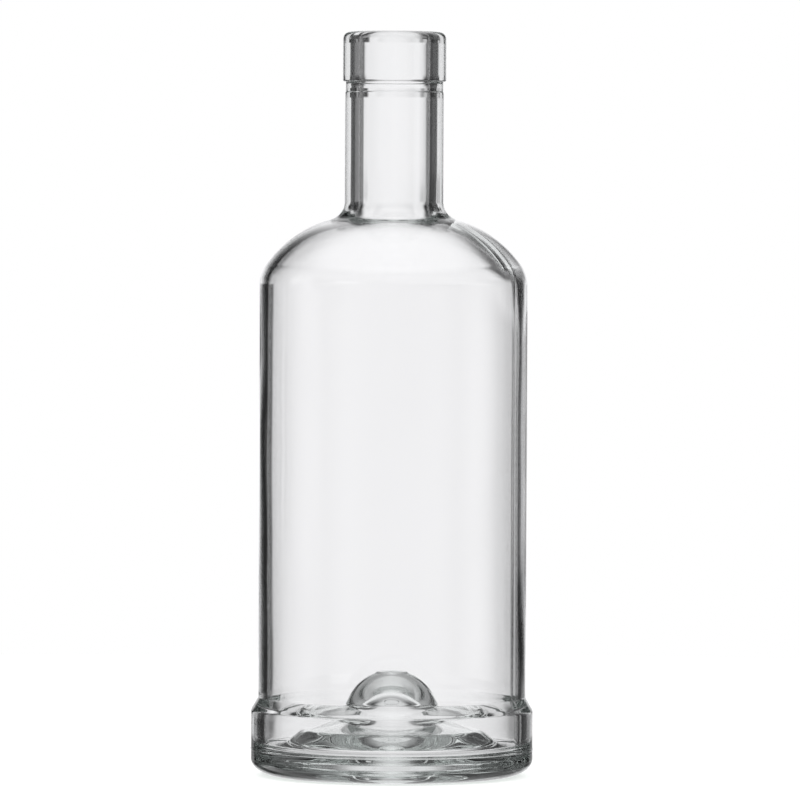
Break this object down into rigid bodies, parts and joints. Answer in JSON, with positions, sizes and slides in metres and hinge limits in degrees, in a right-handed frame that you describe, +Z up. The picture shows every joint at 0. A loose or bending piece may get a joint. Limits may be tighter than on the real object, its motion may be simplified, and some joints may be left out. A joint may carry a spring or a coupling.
{
  "type": "glass bottle",
  "caption": "Clear glass spirits bottle with straight wall, domed shoulder, plain ring mouth for a push-in stopper and a thick pushed-up base.",
  "frame": {"origin": "middle of the surface that the bottle stands on, on its axis", "axes": "+Z up along the bottle's axis, towards the mouth"},
  "size_m": [0.087, 0.087, 0.229],
  "materials": {
    "flint_glass": "gloss"
  },
  "bodies": {
    "root": {"bottle": "flint_glass"}
  },
  "joints": []
}
